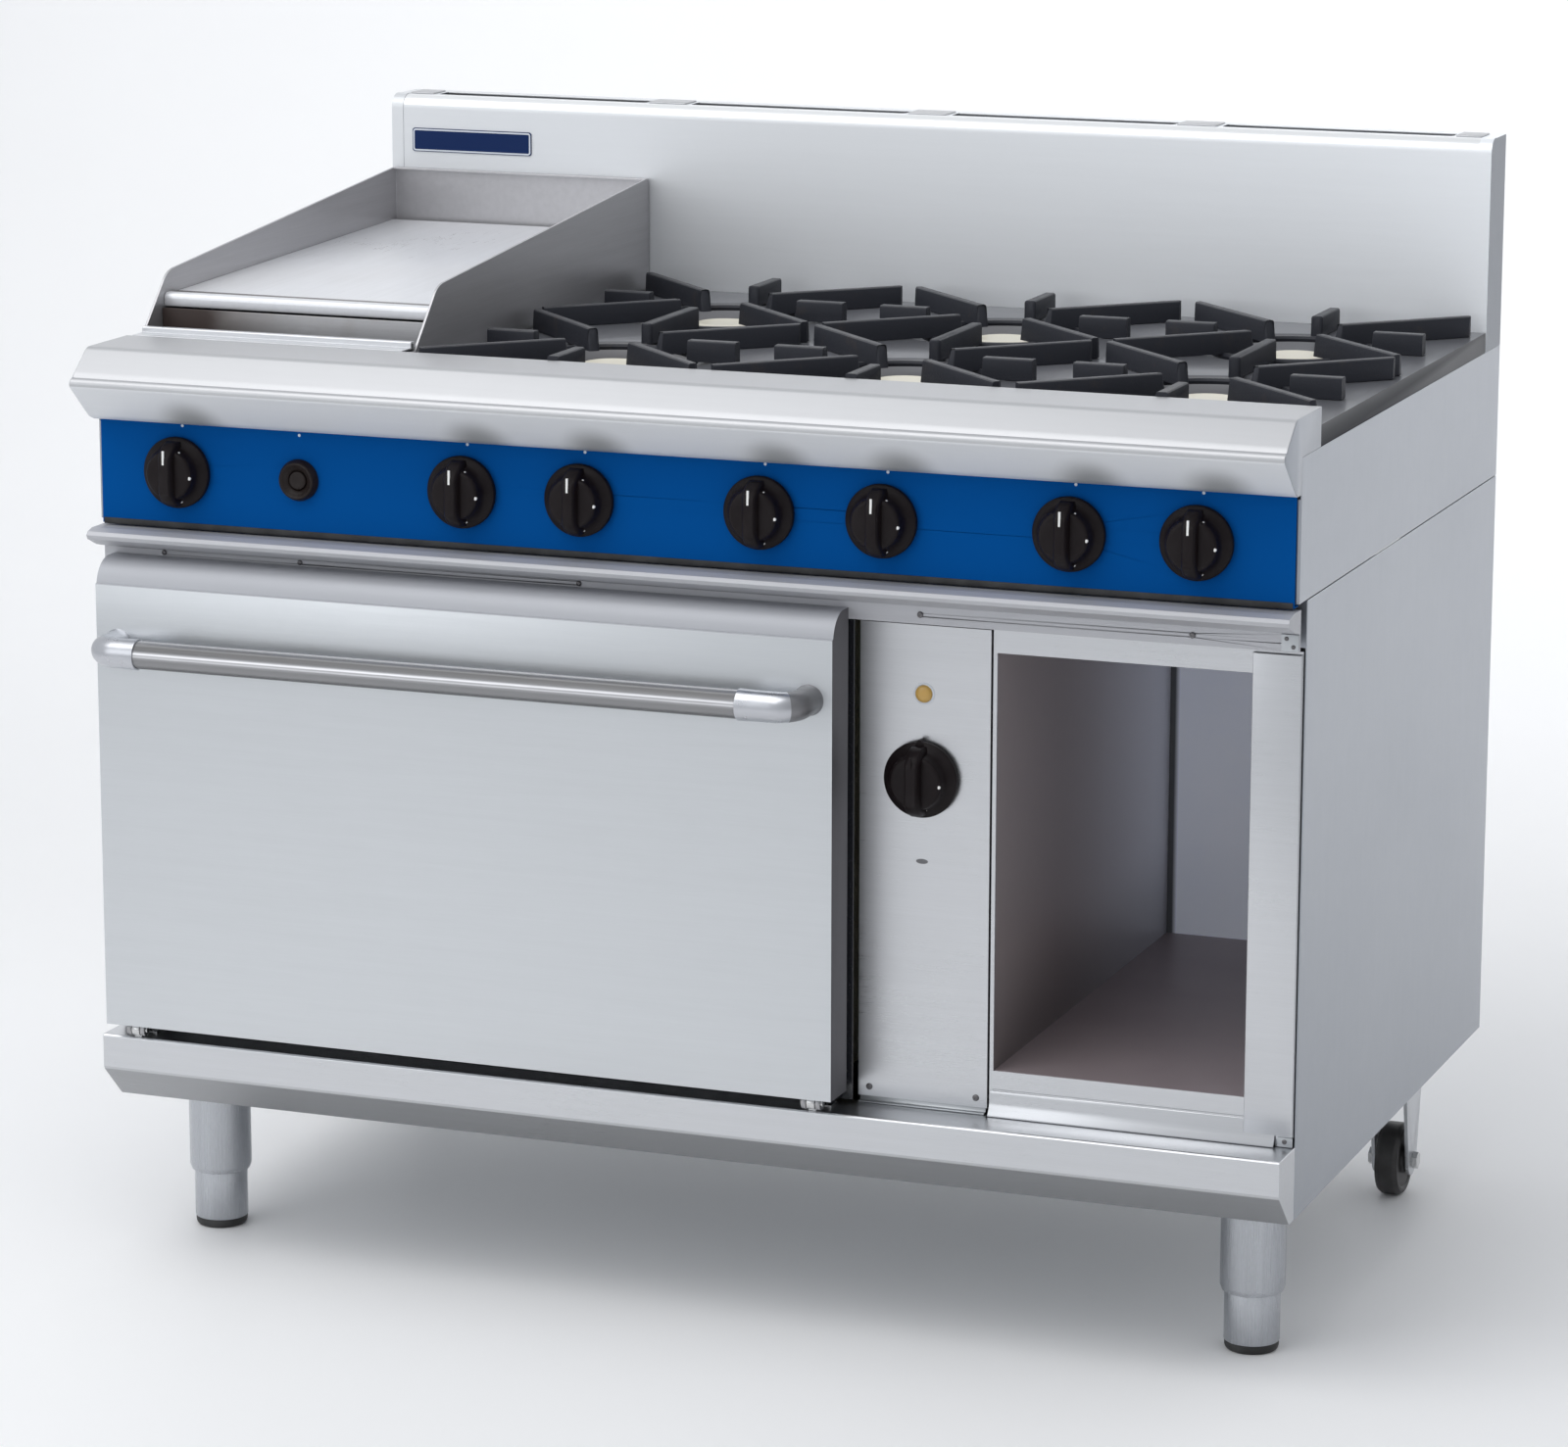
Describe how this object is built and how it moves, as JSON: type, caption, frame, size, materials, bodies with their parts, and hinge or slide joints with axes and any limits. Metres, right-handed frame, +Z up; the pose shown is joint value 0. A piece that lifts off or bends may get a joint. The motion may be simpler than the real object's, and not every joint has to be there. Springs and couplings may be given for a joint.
{
  "type": "gas range",
  "caption": "Commercial gas range with open burners, a griddle, a drop-door oven, an open cupboard and a splashback, on adjustable front legs and rear rollers.",
  "frame": {"origin": "on the floor, under the middle of the overall footprint", "axes": "+Z up, +X to the right as seen from the front, the front faces -Y"},
  "size_m": [1.2, 0.8295, 1.083],
  "materials": {
    "stainless_panel": "brushed stainless sheet, grain along the sheet's length",
    "stainless_inner": "brushed stainless sheet, duller and darker than the outer panels",
    "zinc_sheet": "zinc-coated steel, matt",
    "griddle_steel": "ground mild steel plate, satin",
    "fascia_blue": "deep blue enamel, satin",
    "badge_blue": "plain dark blue plate with a thin pale border",
    "hob_enamel": "mid-grey vitreous enamel",
    "cast_iron_black": "matt black cast iron",
    "burner_alloy": "sand-cast, heat-dulled",
    "cap_cream": "off-white enamelled cap",
    "valve_brass": "machined",
    "knob_black": "black moulded, semi-gloss",
    "igniter_dark": "dark brown-black moulded",
    "amber_lens": "amber lens",
    "seal_rubber": "black braided seal",
    "wool": "mineral wool blanket",
    "oven_enamel": "dark vitreous enamel",
    "plated_wire": "bright plated steel",
    "element_sheath": "heat-dulled sheath",
    "leg_steel": "brushed stainless tube, black plastic sole",
    "roller_black": "black nylon and rubber roller",
    "handle_polished": "polished stainless tube",
    "handle_cast": "polished cast elbows"
  },
  "bodies": {
    "chassis": {"base_front_rail": "stainless_panel", "side_panel_left": "stainless_panel", "side_panel_right": "stainless_panel", "hob_side_panels": "stainless_panel", "splashback": "stainless_panel", "bullnose_rail": "stainless_panel", "header_rail": "stainless_panel", "oven_control_panel": "stainless_panel", "cabinet_frame": "stainless_panel", "cabinet_liner": "stainless_inner", "griddle_guard": "stainless_inner", "griddle_trough": "stainless_inner", "grease_box": "stainless_inner", "bottom_pan": "zinc_sheet", "rear_panel": "zinc_sheet", "gas_manifold": "zinc_sheet", "thermostat": "zinc_sheet", "griddle_plate": "griddle_steel", "control_fascia": "fascia_blue", "badge_plate": "badge_blue", "hob_deck": "hob_enamel", "griddle_burner": "cast_iron_black", "burner_bodies": "burner_alloy", "burner_caps": "cap_cream", "gas_valves": "valve_brass", "igniter_body": "igniter_dark", "indicator_lamp": "amber_lens", "door_seal": "seal_rubber", "oven_insulation": "wool", "oven_liner": "oven_enamel", "rack_guides": "plated_wire", "oven_racks": "plated_wire", "hinge_lugs": "plated_wire", "roller_axles": "plated_wire", "panel_screws": "plated_wire", "oven_elements": "element_sheath", "front_leg_sleeves": "leg_steel", "roller_forks": "leg_steel"},
    "door": {"door_outer": "stainless_panel", "door_inner": "stainless_inner", "door_insulation": "wool", "handle_bar": "handle_polished", "handle_brackets": "handle_cast", "hinge_pins": "plated_wire"},
    "pot_support_left": {"pot_support_left": "cast_iron_black"},
    "pot_support_centre": {"pot_support_centre": "cast_iron_black"},
    "pot_support_right": {"pot_support_right": "cast_iron_black"},
    "knob_griddle": {"knob_griddle": "knob_black"},
    "knob_1": {"knob_1": "knob_black"},
    "knob_2": {"knob_2": "knob_black"},
    "knob_3": {"knob_3": "knob_black"},
    "knob_4": {"knob_4": "knob_black"},
    "knob_5": {"knob_5": "knob_black"},
    "knob_6": {"knob_6": "knob_black"},
    "oven_knob": {"oven_knob": "knob_black"},
    "igniter_button": {"igniter_button": "igniter_dark"},
    "wheel_left": {"wheel_left": "roller_black"},
    "wheel_right": {"wheel_right": "roller_black"},
    "foot_left": {"foot_left": "leg_steel"},
    "foot_right": {"foot_right": "leg_steel"}
  },
  "joints": [
    {"name": "knob_griddle_turn", "type": "hinge", "parent": "chassis", "child": "knob_griddle", "pos_m": [-0.513, -0.32825, 0.788], "axis": [0, -1, 0], "range_deg": [0, 180]},
    {"name": "knob_1_turn", "type": "hinge", "parent": "chassis", "child": "knob_1", "pos_m": [-0.214, -0.32825, 0.788], "axis": [0, -1, 0], "range_deg": [0, 180]},
    {"name": "knob_2_turn", "type": "hinge", "parent": "chassis", "child": "knob_2", "pos_m": [-0.094, -0.32825, 0.788], "axis": [0, -1, 0], "range_deg": [0, 180]},
    {"name": "knob_3_turn", "type": "hinge", "parent": "chassis", "child": "knob_3", "pos_m": [0.086, -0.32825, 0.788], "axis": [0, -1, 0], "range_deg": [0, 180]},
    {"name": "knob_4_turn", "type": "hinge", "parent": "chassis", "child": "knob_4", "pos_m": [0.206, -0.32825, 0.788], "axis": [0, -1, 0], "range_deg": [0, 180]},
    {"name": "knob_5_turn", "type": "hinge", "parent": "chassis", "child": "knob_5", "pos_m": [0.386, -0.32825, 0.788], "axis": [0, -1, 0], "range_deg": [0, 180]},
    {"name": "knob_6_turn", "type": "hinge", "parent": "chassis", "child": "knob_6", "pos_m": [0.506, -0.32825, 0.788], "axis": [0, -1, 0], "range_deg": [0, 180]},
    {"name": "oven_knob_turn", "type": "hinge", "parent": "chassis", "child": "oven_knob", "pos_m": [0.236, -0.29925, 0.542], "axis": [0, 1, 0], "range_deg": [0, 300]},
    {"name": "igniter_press", "type": "slide", "parent": "chassis", "child": "igniter_button", "axis": [0, 1, 0], "range_m": [0, 0.005], "stiffness_N_per_m": 300},
    {"name": "door_hinge", "type": "hinge", "parent": "chassis", "child": "door", "pos_m": [-0.209, -0.34325, 0.2325], "axis": [1, 0, 0], "range_deg": [0, 90], "stiffness_Nm_per_rad": 35, "springref_deg": -20.05},
    {"name": "pot_support_left_lift", "type": "slide", "parent": "chassis", "child": "pot_support_left", "axis": [0, 0, 1], "range_m": [0, 0.08]},
    {"name": "pot_support_centre_lift", "type": "slide", "parent": "chassis", "child": "pot_support_centre", "axis": [0, 0, 1], "range_m": [0, 0.08]},
    {"name": "pot_support_right_lift", "type": "slide", "parent": "chassis", "child": "pot_support_right", "axis": [0, 0, 1], "range_m": [0, 0.08]},
    {"name": "wheel_left_roll", "type": "hinge", "parent": "chassis", "child": "wheel_left", "pos_m": [-0.54, 0.30775, 0.0375], "axis": [1, 0, 0], "continuous": true},
    {"name": "wheel_right_roll", "type": "hinge", "parent": "chassis", "child": "wheel_right", "pos_m": [0.54, 0.30775, 0.0375], "axis": [1, 0, 0], "continuous": true},
    {"name": "foot_left_adjust", "type": "slide", "parent": "chassis", "child": "foot_left", "axis": [0, 0, -1], "range_m": [0, 0.03]},
    {"name": "foot_right_adjust", "type": "slide", "parent": "chassis", "child": "foot_right", "axis": [0, 0, -1], "range_m": [0, 0.03]}
  ]
}
